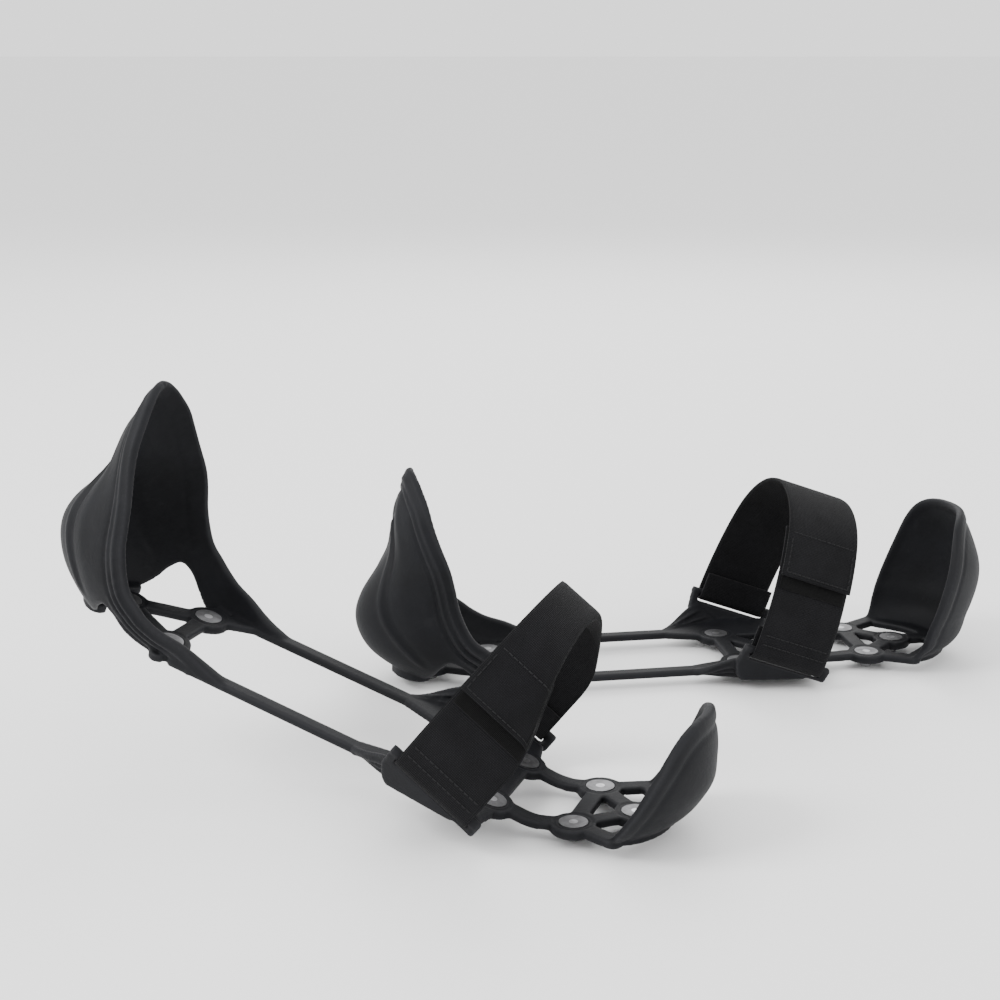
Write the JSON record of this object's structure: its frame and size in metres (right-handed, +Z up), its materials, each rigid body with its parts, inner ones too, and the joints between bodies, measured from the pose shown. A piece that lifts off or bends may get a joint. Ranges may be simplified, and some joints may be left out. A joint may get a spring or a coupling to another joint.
{
  "type": "shoe ice cleats",
  "caption": "Pair of strap-on shoe ice cleats with rubber toe and heel slings, studded webs under the sole and a hook-and-loop instep strap.",
  "frame": {"origin": "centre of the pair's footprint box, on the ground under the stud tips", "axes": "+Z up, +X towards the toes across the pair's longest side, +Y towards the wearer's left"},
  "size_m": [0.4496, 0.2974, 0.1788],
  "materials": {
    "sling_rubber": "satin moulded elastomer",
    "web_rubber": "satin moulded elastomer",
    "webbing": "woven nylon, slightly napped",
    "hook_tape": "fine plastic hooks",
    "loop_tape": "brushed loops",
    "stud_steel": "turned",
    "carbide": "ground",
    "washer_steel": "stamped"
  },
  "bodies": {
    "right_toe": {"right_toe_sling": "sling_rubber", "right_toe_web": "web_rubber", "right_toe_studs": "stud_steel", "right_toe_stud_tips": "carbide", "right_toe_stud_washers": "washer_steel"},
    "right_rear": {"right_ball_web": "web_rubber", "right_ball_studs": "stud_steel", "right_ball_stud_tips": "carbide", "right_ball_stud_washers": "washer_steel", "right_arch_strands": "web_rubber", "right_heel_web": "web_rubber", "right_heel_studs": "stud_steel", "right_heel_stud_tips": "carbide", "right_heel_stud_washers": "washer_steel", "right_short_strap": "webbing", "right_hook_patch": "hook_tape"},
    "right_heel": {"right_heel_sling": "sling_rubber"},
    "right_strap": {"right_long_strap": "webbing"},
    "right_flap": {"right_strap_flap": "webbing", "right_loop_patch": "loop_tape"},
    "left_toe": {"left_toe_sling": "sling_rubber", "left_toe_web": "web_rubber", "left_toe_studs": "stud_steel", "left_toe_stud_tips": "carbide", "left_toe_stud_washers": "washer_steel"},
    "left_rear": {"left_ball_web": "web_rubber", "left_ball_studs": "stud_steel", "left_ball_stud_tips": "carbide", "left_ball_stud_washers": "washer_steel", "left_arch_strands": "web_rubber", "left_heel_web": "web_rubber", "left_heel_studs": "stud_steel", "left_heel_stud_tips": "carbide", "left_heel_stud_washers": "washer_steel", "left_short_strap": "webbing", "left_hook_patch": "hook_tape"},
    "left_heel": {"left_heel_sling": "sling_rubber"},
    "left_strap": {"left_long_strap": "webbing"},
    "left_flap": {"left_strap_flap": "webbing", "left_loop_patch": "loop_tape"}
  },
  "joints": [
    {"name": "right_flex", "type": "hinge", "parent": "right_toe", "child": "right_rear", "pos_m": [-0.00626, -0.09816, 0.0085], "axis": [0.3387, 0.9409, 0], "range_deg": [-18.3, 26.7]},
    {"name": "right_heel_pull", "type": "hinge", "parent": "right_rear", "child": "right_heel", "pos_m": [-0.21931, -0.02146, 0.08339], "axis": [-0.3387, -0.9409, 0], "range_deg": [0, 25], "stiffness_Nm_per_rad": 0.3},
    {"name": "right_strap_swing", "type": "hinge", "parent": "right_rear", "child": "right_strap", "pos_m": [-0.02012, -0.04237, 0.02774], "axis": [-0.7384, 0.2658, 0.6198], "range_deg": [0, 33]},
    {"name": "right_flap_open", "type": "hinge", "parent": "right_strap", "child": "right_flap", "pos_m": [0.00947, -0.10382, 0.08935], "axis": [-0.7384, 0.2658, 0.6198], "range_deg": [0, 110]},
    {"name": "left_flex", "type": "hinge", "parent": "left_toe", "child": "left_rear", "pos_m": [0.14354, 0.10054, 0.0085], "axis": [-0.165, 0.9863, 0], "range_deg": [0, 45]},
    {"name": "left_heel_pull", "type": "hinge", "parent": "left_rear", "child": "left_heel", "pos_m": [-0.09169, 0.06118, 0.0085], "axis": [0.165, -0.9863, 0], "range_deg": [0, 25], "stiffness_Nm_per_rad": 0.3},
    {"name": "left_strap_swing", "type": "hinge", "parent": "left_rear", "child": "left_strap", "pos_m": [0.09978, 0.14168, 0.01674], "axis": [-0.9268, -0.1551, 0.342], "range_deg": [0, 33]},
    {"name": "left_flap_open", "type": "hinge", "parent": "left_strap", "child": "left_flap", "pos_m": [0.13415, 0.09897, 0.09051], "axis": [-0.9268, -0.1551, 0.342], "range_deg": [0, 110]},
    {"name": "left_lift", "type": "slide", "parent": "right_toe", "child": "left_toe", "axis": [0, 0, 1], "range_m": [0, 0.15]}
  ],
  "couplings": [
    {"joint": "right_strap_swing", "follows": "right_flap_open", "ratio": 0.3},
    {"joint": "left_strap_swing", "follows": "left_flap_open", "ratio": 0.3}
  ]
}
